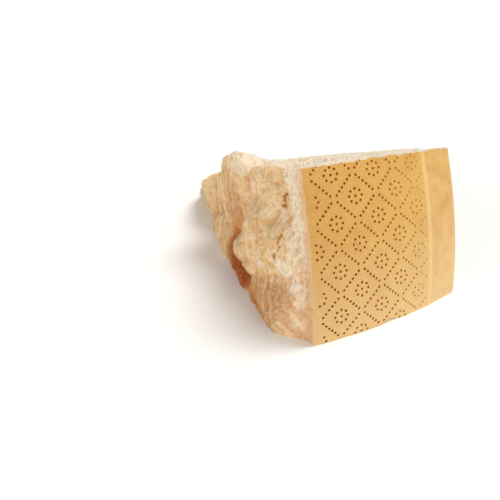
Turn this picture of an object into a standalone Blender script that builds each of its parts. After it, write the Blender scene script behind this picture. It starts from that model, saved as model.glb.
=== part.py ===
"""Wedge of aged hard grana cheese, split by hand from a wheel and lying on one of its long cuts.

Lengths are in metres. +X runs along the axis of the wheel, from the broken face to the flat rind.
The barrel rind faces -Y, the point of the wedge faces +Y, and the wedge lies on z = 0.
The origin is the middle of the footprint.

The wedge is made as the real one is: a wheel is turned, and then it is split along its cuts.
Each break is a rough height over its own plane, and the block beyond it is the cutter.
Places are measured from the wheel's axis in y, from the split plane in x and from the table in z.
"""

import math

import bmesh
import bpy
from mathutils import Matrix, Vector, noise

# The wheel
WHEEL_RADIUS = 0.205
BARREL_RADIUS = 0.3046
MID_HEIGHT_X = -0.0227
FLAT_RIND_X = 0.1000
CORNER_RADIUS = 0.0080
WHEEL_STEPS = 132
BARREL_POINTS = 22
CORNER_POINTS = 5

# The cuts
LOWER_CUT_ABOVE_AXIS = 0.0050
UPPER_CUT_ANGLE = math.radians(29.9)
TIP_THICKNESS_SPLIT_SIDE = 0.0245
TIP_THICKNESS_RIND_SIDE = 0.0150
TIP_Y = 0.0175
TIP_LEAN = 0.30

# Where the middle of the footprint lies
FOOTPRINT_CENTRE = Vector((0.0391, -0.0928, 0.0))

# The grids that the broken faces are modelled on
GRID_STEP = 0.0034

# The hand split stands out of its plane by this much beside the rind, and further in
SPLIT_EDGE_RELIEF_LOW = 0.0038
SPLIT_EDGE_RELIEF_HIGH = 0.0031
SPLIT_HEIGHT = 0.100
SPLIT_BODY_RELIEF = 0.0055
# A knife scored the split beside the rind: it is smooth at first and fully broken further in
SCORE_START = 0.003
SCORE_END = 0.021

# Lumps of the hand split: middle (y, z), how far the top stands out, and the half widths
# along y and z within which a lump falls away by FALL
FALL = 0.010
SPLIT_LUMPS = {
    "foot": ((-0.164, 0.002), 0.0215, (0.048, 0.027)),
    "brow of the bulge": ((-0.122, 0.016), 0.0222, (0.016, 0.015)),
    "top of the bulge": ((-0.136, 0.030), 0.0212, (0.018, 0.024)),
    "lower edge of the bulge": ((-0.139, 0.018), 0.0212, (0.017, 0.012)),
    "wide back of the bulge": ((-0.146, 0.028), 0.0175, (0.040, 0.036)),
    "lobe behind": ((-0.087, 0.048), 0.0158, (0.026, 0.056)),
    "tip lobe": ((-0.038, 0.020), 0.0128, (0.038, 0.036)),
    "base behind": ((-0.096, 0.000), 0.0190, (0.058, 0.018)),
    "base under the bulge": ((-0.128, 0.001), 0.0226, (0.020, 0.013)),
    "shoulder": ((-0.132, 0.066), 0.0105, (0.040, 0.040)),
}

# Hollows of the hand split: middle (y, z), depth, and half widths along y and z
SPLIT_HOLLOWS = {
    "pocket beside the lobe": ((-0.110, 0.055), 0.0030, (0.005, 0.009)),
    "crease beside the bulge": ((-0.108, 0.038), 0.0028, (0.007, 0.024)),
    "undercut of the bulge": ((-0.130, 0.007), 0.0045, (0.018, 0.006)),
    "cleft beside the tip lobe": ((-0.064, 0.036), 0.0055, (0.006, 0.034)),
    "cleft below the shoulder": ((-0.157, 0.056), 0.0030, (0.012, 0.008)),
}
RIB_PITCH = 0.0105
RIB_DEPTH = 0.0034
RIB_MIDDLE_Y = -0.030
RIB_REACH = 0.040

# The upper cut rises over the lobe, dips beside it and sinks toward the tip
CREST_MIDDLE = Vector((-0.009, -0.090))
CREST_HALF_WIDTHS = Vector((0.024, 0.022))
CREST_HEIGHT = 0.0090
SADDLE_MIDDLE = Vector((-0.004, -0.112))
SADDLE_HALF_WIDTHS = Vector((0.020, 0.018))
SADDLE_DEPTH = 0.0042
TIP_SINK_START_Y = -0.085
TIP_SINK = 0.0190
TIP_SINK_LENGTH = 0.074
TIP_SINK_POWER = 1.2
TIP_SINK_RIND_SHARE = 0.25
TIP_SINK_FADE = (-0.012, 0.030)

# Roughness of the breaks: one fold of large facets and one of small crags
FACET_SIZE = 0.021
FACET_RELIEF = 0.0030
FACET_LEVEL = 0.3
CRAG_SIZE = 0.0085
CRAG_RELIEF = 0.0007
CRAG_DIMENSION = 0.9
CRAG_LACUNARITY = 2.1
CRAG_OCTAVES = 3
CRAG_OFFSET = 1.0
CRAG_GAIN = 1.6
WARP_SIZE = 0.026
WARP_REACH = 0.0050
# On the upper cut half of the roughness is in steps, the edges of flakes
FLAKE_STEP = 0.0022
FLAKE_SHARE = 0.5
UPPER_ROUGHNESS = 1.3
UPPER_RIM = (0.002, 0.022)
NOISE_SEED = 67
SPLIT_SEED = Vector((3.1, 7.7, 1.3))
UPPER_SEED = Vector((11.9, 2.3, 5.1))
TIP_SEED = Vector((4.4, 9.2, 8.6))

# The block that is sawn out before the rough splits, and what the cutters pass it by
BLOCK_SPLIT_SIDE = 0.045
BLOCK_TIP_Y = 0.045
BLOCK_HEIGHT = 0.125
BLOCK_MARGIN = 0.005
TIP_CUTTER_HEIGHT = 0.060

RIND_COLOUR = (0.58, 0.33, 0.09)
RIND_ROUGHNESS = 0.45
PASTE_COLOUR = (0.78, 0.60, 0.34)
PASTE_ROUGHNESS = 0.55
SHARP_ANGLE = math.radians(40)
MERGE = 0.0001
SLIVER = 0.0001


def clear_scene():
    """Remove whatever the file starts with."""
    for thing in list(bpy.data.objects):
        bpy.data.objects.remove(thing)


def make_material(name, colour, roughness):
    """Return a plain cheese surface of one colour."""
    material = bpy.data.materials.new(name)
    material.use_nodes = True
    shader = material.node_tree.nodes["Principled BSDF"]
    shader.inputs["Base Color"].default_value = (*colour, 1.0)
    shader.inputs["Roughness"].default_value = roughness
    shader.inputs["Metallic"].default_value = 0.0
    return material


def smoothstep(low, high, value):
    """Rise smoothly from 0 at low to 1 at high."""
    share = min(max((value - low) / (high - low), 0.0), 1.0)
    return share * share * (3.0 - 2.0 * share)


def dome(distance):
    """Return 1 in the middle of a hollow and 0 from its rim outwards, with no crease."""
    inside = max(0.0, 1.0 - distance * distance)
    return inside * inside


def dome_over(a, b, middle, half_widths):
    """Return the dome at (a, b) that stands over its middle and reaches its half widths."""
    return dome(math.hypot((a - middle[0]) / half_widths[0], (b - middle[1]) / half_widths[1]))


def rind_radius(x):
    """Return the radius of the barrel rind at x, without its rounded corner."""
    off_middle = x - MID_HEIGHT_X
    sagitta = BARREL_RADIUS - math.sqrt(BARREL_RADIUS**2 - off_middle**2)
    return WHEEL_RADIUS - sagitta


def facets(point, seed):
    """Return the large broken lumps at a point: rounded tops that meet in creases."""
    distances, _ = noise.voronoi(point / FACET_SIZE + seed)
    return (FACET_LEVEL - distances[0] ** 2) * FACET_RELIEF


def crags(point, seed):
    """Return the small crags at a point, sharp at their tops."""
    height = noise.ridged_multi_fractal(
        point / CRAG_SIZE + seed, CRAG_DIMENSION, CRAG_LACUNARITY, CRAG_OCTAVES, CRAG_OFFSET, CRAG_GAIN,
    )
    return (height - CRAG_OFFSET) * CRAG_RELIEF


def warped(a, b, seed):
    """Return a flat place moved by slow noise, so that no lump has a plain outline."""
    sway = noise.noise_vector(Vector((a, b, 0.0)) / WARP_SIZE + seed)
    return a + sway.x * WARP_REACH, b + sway.y * WARP_REACH


def split_relief(y, z):
    """Return how far the hand split stands out toward -X at (y, z)."""
    warped_y, warped_z = warped(y, z, SPLIT_SEED)
    below_rind = WHEEL_RADIUS - math.hypot(y, z + LOWER_CUT_ABOVE_AXIS)
    body = smoothstep(SCORE_START, SCORE_END, below_rind)
    edge = SPLIT_EDGE_RELIEF_LOW + (SPLIT_EDGE_RELIEF_HIGH - SPLIT_EDGE_RELIEF_LOW) * z / SPLIT_HEIGHT
    relief = SPLIT_BODY_RELIEF
    for (middle_y, middle_z), height, (half_y, half_z) in SPLIT_LUMPS.values():
        off_y = (warped_y - middle_y) / half_y
        off_z = (warped_z - middle_z) / half_z
        relief = max(relief, height - FALL * (off_y * off_y + off_z * off_z))
    for middle, depth, half_widths in SPLIT_HOLLOWS.values():
        relief -= depth * dome_over(warped_y, warped_z, middle, half_widths)
    rib_share = dome(min(abs(warped_y - RIB_MIDDLE_Y) / RIB_REACH, 1.0))
    rib = abs(math.sin(math.pi * warped_y / RIB_PITCH))
    relief -= RIB_DEPTH * rib_share * (1.0 - rib) ** 2
    point = Vector((0.0, y, z))
    relief += facets(point, SPLIT_SEED) + crags(point, SPLIT_SEED)
    return edge + body * (relief - edge)


def upper_cut_height(x, y):
    """Return the height of the upper cut at (x, y)."""
    radius = rind_radius(min(x, FLAT_RIND_X))
    rim_y = -radius * math.cos(UPPER_CUT_ANGLE)
    rim_z = radius * math.sin(UPPER_CUT_ANGLE) - LOWER_CUT_ABOVE_AXIS
    across = x / FLAT_RIND_X
    tip_z = TIP_THICKNESS_SPLIT_SIDE + across * (TIP_THICKNESS_RIND_SIDE - TIP_THICKNESS_SPLIT_SIDE)
    height = tip_z + (rim_z - tip_z) * y / rim_y
    height += CREST_HEIGHT * dome_over(x, y, CREST_MIDDLE, CREST_HALF_WIDTHS)
    height -= SADDLE_DEPTH * dome_over(x, y, SADDLE_MIDDLE, SADDLE_HALF_WIDTHS)
    sunk = (max(0.0, y - TIP_SINK_START_Y) / TIP_SINK_LENGTH) ** TIP_SINK_POWER
    fade = smoothstep(*TIP_SINK_FADE, x)
    height -= TIP_SINK * sunk * (1.0 + fade * (TIP_SINK_RIND_SHARE - 1.0))
    body = smoothstep(*UPPER_RIM, y - rim_y)
    point = Vector((x, y, 0.0))
    rough = UPPER_ROUGHNESS * (facets(point, UPPER_SEED) + crags(point, UPPER_SEED))
    flakes = math.floor(rough / FLAKE_STEP) * FLAKE_STEP
    return height + body * (rough + FLAKE_SHARE * (flakes - rough))


def tip_cut_y(x, z):
    """Return how far the broken tip reaches toward +Y at (x, z)."""
    point = Vector((x, 0.0, z))
    return TIP_Y - TIP_LEAN * z + facets(point, TIP_SEED) + crags(point, TIP_SEED)


def rough_cutter(name, size, middle, fill_to, to_part, relief, material):
    """Return a block whose first face is rough.

    The face starts as a flat grid in local x and y. Each of its points is moved along local z
    to relief(x, y), and the block fills local z from there to fill_to. to_part turns it into place.
    """
    bm = bmesh.new()
    steps = [round(length / GRID_STEP) for length in size]
    bmesh.ops.create_grid(bm, x_segments=steps[0], y_segments=steps[1], size=0.5)
    bmesh.ops.scale(bm, vec=(*size, 1.0), verts=bm.verts)
    bmesh.ops.translate(bm, vec=(*middle, 0.0), verts=bm.verts)
    for vert in bm.verts:
        vert.co.z = relief(vert.co.x, vert.co.y)
    back = bmesh.ops.extrude_face_region(bm, geom=bm.faces[:])
    for item in back["geom"]:
        if isinstance(item, bmesh.types.BMVert):
            item.co.z = fill_to
    bmesh.ops.transform(bm, matrix=to_part, verts=bm.verts)
    bmesh.ops.recalc_face_normals(bm, faces=bm.faces)
    return finish_mesh(bm, name, material)


def finish_mesh(bm, name, material):
    """Write a bmesh to a new mesh with one material, and free it."""
    mesh = bpy.data.meshes.new(name)
    bm.to_mesh(mesh)
    bm.free()
    mesh.materials.append(material)
    return mesh


def wheel_profile():
    """Return the profile of the turned wheel as (x, radius) points, from one face to the other."""
    half = FLAT_RIND_X - MID_HEIGHT_X
    arc_middle = WHEEL_RADIUS - BARREL_RADIUS
    # The corner's circle touches the flat face and, from inside, the barrel
    corner_x = half - CORNER_RADIUS
    corner_r = arc_middle + math.sqrt((BARREL_RADIUS - CORNER_RADIUS) ** 2 - corner_x**2)
    touch = math.atan2(corner_x, corner_r - arc_middle)
    rim = []
    for i in range(BARREL_POINTS + 1):
        turn = touch * i / BARREL_POINTS
        rim.append((BARREL_RADIUS * math.sin(turn), arc_middle + BARREL_RADIUS * math.cos(turn)))
    for i in range(1, CORNER_POINTS + 1):
        turn = touch + (math.pi / 2 - touch) * i / CORNER_POINTS
        rim.append((corner_x + CORNER_RADIUS * math.sin(turn), corner_r + CORNER_RADIUS * math.cos(turn)))
    rim.append((half, 0.0))
    mirrored = [(-x, r) for x, r in reversed(rim[1:])]
    return [(MID_HEIGHT_X + x, r) for x, r in mirrored + rim]


def turned_wheel(material):
    """Return the whole wheel, turned about the X axis from its profile by a Screw modifier."""
    mesh = bpy.data.meshes.new("parmesan_wedge")
    points = wheel_profile()
    edges = [(i, i + 1) for i in range(len(points) - 1)]
    mesh.from_pydata([(x, 0.0, r) for x, r in points], edges, [])
    mesh.materials.append(material)
    wheel = bpy.data.objects.new("parmesan_wedge", mesh)
    turning = wheel.modifiers.new("Turning", "SCREW")
    turning.axis = "X"
    turning.steps = WHEEL_STEPS
    turning.render_steps = WHEEL_STEPS
    turning.use_merge_vertices = True
    turning.merge_threshold = MERGE
    turning.use_normal_calculate = True
    return wheel


def cut(wedge, cutter_mesh, operation, table, cutters):
    """Cut the wedge with a mesh that stands on the table."""
    cutter = bpy.data.objects.new(cutter_mesh.name, cutter_mesh)
    cutters.objects.link(cutter)
    cutter.parent = table
    cutter.hide_render = True
    cutter.display_type = "WIRE"
    split = wedge.modifiers.new(cutter_mesh.name, "BOOLEAN")
    split.operation = operation
    split.object = cutter
    split.solver = "EXACT"


def lower_cut_block(material):
    """Return the plain block that the first saw cuts leave, with its lower face at z = 0."""
    low = Vector((-BLOCK_SPLIT_SIDE, -WHEEL_RADIUS - BLOCK_MARGIN, 0.0))
    high = Vector((FLAT_RIND_X + BLOCK_MARGIN, BLOCK_TIP_Y, BLOCK_HEIGHT))
    bm = bmesh.new()
    bmesh.ops.create_cube(bm, size=1.0)
    bmesh.ops.scale(bm, vec=high - low, verts=bm.verts)
    bmesh.ops.translate(bm, vec=(high + low) / 2, verts=bm.verts)
    return finish_mesh(bm, "lower_cut", material)


def settle(wedge):
    """Apply the turning and the cuts, and close up the slivers that they leave."""
    graph = bpy.context.evaluated_depsgraph_get()
    mesh = bpy.data.meshes.new_from_object(wedge.evaluated_get(graph))
    bm = bmesh.new()
    bm.from_mesh(mesh)
    bmesh.ops.dissolve_degenerate(bm, dist=SLIVER, edges=bm.edges)
    bm.to_mesh(mesh)
    bm.free()
    mesh.shade_smooth()
    mesh.set_sharp_from_angle(angle=SHARP_ANGLE)
    wedge.modifiers.clear()
    wedge.data = mesh


def build():
    """Turn the wheel and split the wedge from it."""
    clear_scene()
    noise.seed_set(NOISE_SEED)
    model = bpy.data.collections.new("parmesan")
    cutters = bpy.data.collections.new("cutters")
    for collection in (model, cutters):
        bpy.context.scene.collection.children.link(collection)
    rind = make_material("rind", RIND_COLOUR, RIND_ROUGHNESS)
    paste = make_material("paste", PASTE_COLOUR, PASTE_ROUGHNESS)

    table = bpy.data.objects.new("table_below_axis", None)
    table.location = -FOOTPRINT_CENTRE
    model.objects.link(table)
    wedge = turned_wheel(rind)
    model.objects.link(wedge)
    wedge.parent = table
    wedge.location.z = -LOWER_CUT_ABOVE_AXIS

    cut(wedge, lower_cut_block(paste), "INTERSECT", table, cutters)
    depth = BLOCK_TIP_Y + WHEEL_RADIUS + 2 * BLOCK_MARGIN
    middle_y = (BLOCK_TIP_Y - WHEEL_RADIUS) / 2
    width = FLAT_RIND_X + BLOCK_SPLIT_SIDE + 2 * BLOCK_MARGIN
    middle_x = (FLAT_RIND_X - BLOCK_SPLIT_SIDE) / 2
    upper = rough_cutter(
        "upper_cut", (width, depth), (middle_x, middle_y), BLOCK_HEIGHT + BLOCK_MARGIN,
        Matrix.Identity(4), upper_cut_height, paste,
    )
    cut(wedge, upper, "DIFFERENCE", table, cutters)
    tip_to_part = Matrix(((1, 0, 0, 0), (0, 0, 1, 0), (0, 1, 0, 0), (0, 0, 0, 1)))
    tip = rough_cutter(
        "tip_break", (width, TIP_CUTTER_HEIGHT), (middle_x, TIP_CUTTER_HEIGHT / 2 - BLOCK_MARGIN),
        BLOCK_TIP_Y + BLOCK_MARGIN, tip_to_part, tip_cut_y, paste,
    )
    cut(wedge, tip, "DIFFERENCE", table, cutters)
    height = BLOCK_HEIGHT + 2 * BLOCK_MARGIN
    split_to_part = Matrix(((0, 0, -1, 0), (1, 0, 0, 0), (0, 1, 0, 0), (0, 0, 0, 1)))
    split = rough_cutter(
        "hand_split", (depth, height), (middle_y, BLOCK_HEIGHT / 2), BLOCK_SPLIT_SIDE + BLOCK_MARGIN,
        split_to_part, split_relief, paste,
    )
    cut(wedge, split, "DIFFERENCE", table, cutters)
    settle(wedge)


build()
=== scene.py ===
"""Wedge of aged hard grana cheese, dressed for its picture.

The wedge is made as the real one is. A block of the wheel is turned with its barrel rind,
the pin marks are pressed into the rind, and the block is then broken along its cuts.
Each break is a rough height over its own plane, and the block beyond it is the cutter.

Lengths are in metres. +X runs along the axis of the wheel, from the broken face to the flat
rind, and the wedge lies on z = 0. While it is being made, places are measured from the
wheel's axis in y, from the split plane in x and from the table in z.
"""

import logging
import math
from dataclasses import dataclass
from enum import Enum
from typing import Callable, Iterator, Sequence

import bpy
import numpy as np
from mathutils import Matrix, Vector, noise


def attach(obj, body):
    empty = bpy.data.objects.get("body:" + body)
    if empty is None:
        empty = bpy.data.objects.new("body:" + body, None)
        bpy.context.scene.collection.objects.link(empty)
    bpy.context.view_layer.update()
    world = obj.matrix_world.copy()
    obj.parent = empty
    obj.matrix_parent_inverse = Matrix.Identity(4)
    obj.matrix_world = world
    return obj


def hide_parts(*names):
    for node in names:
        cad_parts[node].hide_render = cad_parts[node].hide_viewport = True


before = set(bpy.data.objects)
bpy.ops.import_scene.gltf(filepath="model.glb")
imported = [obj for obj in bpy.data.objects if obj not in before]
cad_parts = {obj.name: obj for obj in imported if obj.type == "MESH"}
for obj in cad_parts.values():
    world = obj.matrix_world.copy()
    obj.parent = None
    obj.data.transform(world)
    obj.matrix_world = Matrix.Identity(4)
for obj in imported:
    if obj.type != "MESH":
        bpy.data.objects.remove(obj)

log = logging.getLogger("wedge")

# A place on a face, or where a change starts and ends
Pair = tuple[float, float]
Socket = bpy.types.NodeSocket

NODE = "parmesan_wedge"
BODY = "root"
FOOTPRINT_CENTRE = Vector((0.0391, -0.0928, 0.0))
MERGE = 0.00001
NOISE_SEED = 67


class Skin(Enum):
    """The finishes of the wedge, in the order of its material slots."""

    RIND = 0
    PASTE = 1
    PIN_MARK = 2


class Patch(Enum):
    """What is painted on the mesh, as one value at each of its points.

    Grain and swell are heights in metres, fibre runs from -1 to 1, and the others from 0 to 1. Grain sets
    painted highlight and shade, swell and hollow set painted shade, and the tan and pale patches are partly
    painted shade and painted light.
    """

    PALE_AND_LIT = "pale_and_lit"
    TAN_AND_SHADE = "toasted"
    CRUST = "crust"
    HOLLOW_SHADE = "hollow"
    CHIPPED = "chipped"
    FIBRE = "fibre"
    GRAIN_LIGHT_AND_SHADE = "grain"
    SWELL_SHADE = "swell"


def linear(code: str) -> tuple[float, float, float, float]:
    """Turn an sRGB colour into the linear one that the shaders read.

    Args:
        code: Six hexadecimal digits.

    Returns:
        Linear red, green, blue and an alpha of 1.
    """
    values = []
    for place in (0, 2, 4):
        share = int(code[place:place + 2], 16) / 255
        values.append(share / 12.92 if share <= 0.04045 else ((share + 0.055) / 1.055) ** 2.4)
    return (*values, 1.0)


def smoothstep(low: float, high: float, value: float) -> float:
    """Rise smoothly from 0 at low to 1 at high.

    Args:
        low: Where the rise starts.
        high: Where it ends.
        value: Where it is read.

    Returns:
        The height of the rise.
    """
    share = min(max((value - low) / (high - low), 0.0), 1.0)
    return share * share * (3.0 - 2.0 * share)


def dome(distance: float) -> float:
    """Return 1 in the middle of a hollow and 0 from its rim outwards, with no crease."""
    inside = max(0.0, 1.0 - distance * distance)
    return inside * inside


class LayeredPaint:
    """A material in the making, with the colour that has been laid on it so far."""

    def __init__(self, name: str, colour: str = "FFFFFF") -> None:
        """Start a material.

        Args:
            name: The material's name.
            colour: The colour below all others, as sRGB digits.
        """
        self.material = bpy.data.materials.new(name)
        self.material.use_nodes = True
        self.tree = self.material.node_tree
        self.colour = linear(colour)
        self.place = self.add("ShaderNodeTexCoord").outputs["Object"]
        self.x, _, self.z = self.add("ShaderNodeSeparateXYZ", inputs={"Vector": self.place}).outputs

    def add(self, kind: str, settings: dict | None = None, inputs: dict | None = None) -> bpy.types.Node:
        """Add a node.

        Args:
            kind: The node's type.
            settings: Values of the node itself.
            inputs: What its inputs get, as for fill.

        Returns:
            The new node.
        """
        made = self.tree.nodes.new(kind)
        for name, value in (settings or {}).items():
            setattr(made, name, value)
        self.fill(made, inputs or {})
        return made

    def fill(self, node: bpy.types.Node, inputs: dict) -> None:
        """Set the inputs of a node.

        Args:
            node: The node.
            inputs: For each socket's name or number, a value or the output that is linked to it.
        """
        for name, value in inputs.items():
            if isinstance(value, Socket):
                self.tree.links.new(value, node.inputs[name])
            else:
                node.inputs[name].default_value = value

    def math(self, operation: str, *operands: float | Socket) -> Socket:
        """Return what an operation makes of numbers or outputs."""
        return self.add("ShaderNodeMath", {"operation": operation}, dict(enumerate(operands))).outputs[0]

    def noise(self, size: float, detail: float, roughness: float = 0.5) -> Socket:
        """Return a noise whose blotches are about as wide as size."""
        return self.add("ShaderNodeTexNoise", inputs={
            "Vector": self.place, "Scale": 1.0 / size, "Detail": detail, "Roughness": roughness,
        }).outputs["Fac"]

    def painted(self, patch: Patch) -> Socket:
        """Return the output that reads a painted patch."""
        return self.add("ShaderNodeAttribute", {"attribute_name": patch.value}).outputs["Fac"]

    def lay(self, code: str, amount: Socket, span: Pair = (0.0, 1.0),
            strength: float = 1.0) -> None:
        """Lay a colour over what is there.

        Args:
            code: The colour, as sRGB digits.
            amount: What sets how much of it shows.
            span: The amounts at which it starts to show and shows at its most.
            strength: How much of it shows at its most.
        """
        share = self.add("ShaderNodeMapRange", inputs={
            "Value": amount, "From Min": span[0], "From Max": span[1], "To Max": strength,
        })
        self.colour = self.add("ShaderNodeMix", {"data_type": "RGBA"}, {
            "Factor": share.outputs["Result"], "A": self.colour, "B": linear(code),
        }).outputs["Result"]

    def bump(self, height: Socket, strength: float, distance: float) -> Socket:
        """Return the normals of a surface that a height roughens."""
        return self.add("ShaderNodeBump", inputs={
            "Height": height, "Strength": strength, "Distance": distance,
        }).outputs["Normal"]

    def finish(self, inputs: dict) -> bpy.types.Material:
        """Give the colour and other inputs to the shader, and return the material."""
        self.fill(self.tree.nodes["Principled BSDF"], {"Base Color": self.colour, **inputs})
        return self.material


def select_only(piece: bpy.types.Object) -> None:
    """Make a piece the only selected one, and the active one.

    Args:
        piece: The object.
    """
    bpy.ops.object.select_all(action="DESELECT")
    piece.select_set(True)
    bpy.context.view_layer.objects.active = piece


def edit_all(piece: bpy.types.Object, *steps: Callable[[], object]) -> None:
    """Take steps in edit mode, each with all of a piece selected.

    Args:
        piece: The object.
        steps: Functions that call an operator.
    """
    select_only(piece)
    bpy.ops.object.mode_set(mode="EDIT")
    for step in steps:
        bpy.ops.mesh.select_all(action="SELECT")
        step()
    bpy.ops.object.mode_set(mode="OBJECT")


def face_outward() -> None:
    """Turn the selected faces outward."""
    bpy.ops.mesh.normals_make_consistent(inside=False)


def coordinates(mesh: bpy.types.Mesh) -> np.ndarray:
    """Read where the points of a mesh are.

    Args:
        mesh: The mesh.

    Returns:
        One row of x, y and z for each point.
    """
    places = np.zeros(len(mesh.vertices) * 3)
    mesh.vertices.foreach_get("co", places)
    return places.reshape(-1, 3)


def move_points(mesh: bpy.types.Mesh, places: np.ndarray) -> None:
    """Put the points of a mesh at new places, given as one row of x, y and z for each."""
    mesh.vertices.foreach_set("co", places.ravel())
    mesh.update()


def standing(mesh: bpy.types.Mesh, passes: int) -> np.ndarray:
    """Measure how far each point of a mesh stands above its surroundings.

    Args:
        mesh: The mesh.
        passes: How often the mesh is smoothed to get the surroundings.

    Returns:
        The height of each point over the smoothed mesh, below zero in a hollow.
    """
    places = coordinates(mesh)
    normals = np.zeros(places.size)
    mesh.vertex_normals.foreach_get("vector", normals)
    ends = np.zeros(len(mesh.edges) * 2, dtype=int)
    mesh.edges.foreach_get("vertices", ends)
    ends = ends.reshape(-1, 2)
    around = np.concatenate((ends[:, 0], ends[:, 1]))
    beside = np.concatenate((ends[:, 1], ends[:, 0]))
    count = np.maximum(np.bincount(around, minlength=len(places)), 1)
    smooth = places.copy()
    for _ in range(passes):
        sums = [np.bincount(around, smooth[beside, axis], len(places)) for axis in range(3)]
        smooth = 0.5 * smooth + 0.5 * np.stack(sums, axis=1) / count[:, None]
    return ((places - smooth) * normals.reshape(-1, 3)).sum(axis=1)


def flat_grid(name: str, columns: int, rows: int) -> bpy.types.Object:
    """Add a grid of 1 m by 1 m, with its middle at the origin.

    Args:
        name: The object's name.
        columns: Faces along x.
        rows: Faces along y.

    Returns:
        The grid, selected.
    """
    bpy.ops.object.select_all(action="DESELECT")
    bpy.ops.mesh.primitive_grid_add(x_subdivisions=columns, y_subdivisions=rows, size=1.0)
    grid = bpy.context.object
    grid.name = name
    grid.data.name = name
    return grid


def finish_skins(piece: bpy.types.Object, skin: Skin) -> None:
    """Give a mesh all the wedge's material slots, and one of them to all its faces.

    Args:
        piece: The object.
        skin: The finish of its faces.
    """
    for _ in Skin:
        piece.data.materials.append(None)
    piece.data.polygons.foreach_set("material_index", [skin.value] * len(piece.data.polygons))


@dataclass(frozen=True)
class Wheel:
    """The wheel that the wedge was split from, and how the wedge lies in it."""

    radius: float = 0.20490
    barrel_radius: float = 0.3046
    mid_height_x: float = -0.0227
    flat_x: float = 0.1000
    corner_radius: float = 0.0080
    lower_cut_above_axis: float = 0.0050
    upper_cut_angle: float = math.radians(29.9)

    def rind_radius(self, x: float) -> float:
        """Return the radius of the barrel rind at x, without its rounded corner."""
        off_middle = x - self.mid_height_x
        return self.radius - self.barrel_radius + math.sqrt(self.barrel_radius**2 - off_middle**2)

    def depth_below_rind(self, x: float, y: float, z: float) -> float:
        """Return how far a point is below the nearest rind."""
        from_axis = math.hypot(y, z + self.lower_cut_above_axis)
        return min(self.rind_radius(min(x, self.flat_x)) - from_axis, self.flat_x - x)

    def corner(self) -> tuple[float, float, float]:
        """Find the circle of the rounded corner, which touches the flat rind and the barrel.

        Returns:
            The circle's middle as x and radius, and the angle at which it touches the barrel.
        """
        off_middle = self.flat_x - self.mid_height_x - self.corner_radius
        arc_middle = self.radius - self.barrel_radius
        reach = math.sqrt((self.barrel_radius - self.corner_radius) ** 2 - off_middle**2)
        return self.mid_height_x + off_middle, arc_middle + reach, math.atan2(off_middle, reach)


@dataclass(frozen=True)
class Lump:
    """A rounded swelling or a hollow of a broken face."""

    middle: Pair
    height: float
    half_widths: Pair

    def off(self, a: float, b: float) -> Pair:
        """Return how far a place is from the middle, in half widths."""
        return (a - self.middle[0]) / self.half_widths[0], (b - self.middle[1]) / self.half_widths[1]

    def swell(self, a: float, b: float, fall: float) -> float:
        """Return the height of the swelling, which falls away by fall at its half widths."""
        off_a, off_b = self.off(a, b)
        return self.height - fall * (off_a * off_a + off_b * off_b)

    def dent(self, a: float, b: float) -> float:
        """Return the depth of the hollow."""
        return self.height * dome(math.hypot(*self.off(a, b)))


def total_dent(hollows: Sequence[Lump], a: float, b: float) -> float:
    """Return how deep hollows are together at a place."""
    return sum(hollow.dent(a, b) for hollow in hollows)


@dataclass(frozen=True)
class Fracture:
    """How this cheese breaks: large facets, crags on them, and flakes and crumbs on those."""

    seed: Vector
    facet_size: float = 0.021
    facet_relief: float = 0.0030
    facet_level: float = 0.3
    crag_size: float = 0.0085
    crag_relief: float = 0.0007
    crag_fractal: tuple[float, float, int, float, float] = (0.9, 2.1, 3, 1.0, 1.6)
    warp_size: float = 0.026
    warp_reach: float = 0.0050
    flake_sizes: tuple[float, ...] = (0.0110, 0.0052)
    flake_edge: Pair = (0.06, 0.14)
    flake_relief: float = 0.00040
    crumb_size: float = 0.0030
    crumb_relief: float = 0.00100
    crumb_fractal: tuple[float, float, int] = (0.5, 2.1, 3)

    def rough(self, point: Vector) -> float:
        """Return the broken lumps at a point: rounded facets that meet in creases, with crags."""
        distances, _ = noise.voronoi(point / self.facet_size + self.seed)
        facets = (self.facet_level - distances[0] ** 2) * self.facet_relief
        height = noise.ridged_multi_fractal(point / self.crag_size + self.seed, *self.crag_fractal)
        return facets + (height - 1.0) * self.crag_relief

    def warped(self, a: float, b: float) -> Pair:
        """Return a flat place moved by slow noise, so that no lump has a plain outline."""
        sway = noise.noise_vector(Vector((a, b, 0.0)) / self.warp_size + self.seed)
        return a + sway.x * self.warp_reach, b + sway.y * self.warp_reach

    def flaked(self, point: Vector) -> float:
        """Return how much flakes have taken away at a point: shallow, with sharp edges."""
        heights = (noise.noise(point / size + self.seed) for size in self.flake_sizes)
        return -self.flake_relief * sum(smoothstep(*self.flake_edge, height) for height in heights)

    def crumbs(self, point: Vector) -> float:
        """Return how much the loose crumbs have fallen away at a point."""
        fallen = 0.5 + 0.5 * noise.fractal(point / self.crumb_size + self.seed, *self.crumb_fractal)
        return -self.crumb_relief * min(max(fallen, 0.0), 1.0)


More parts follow.
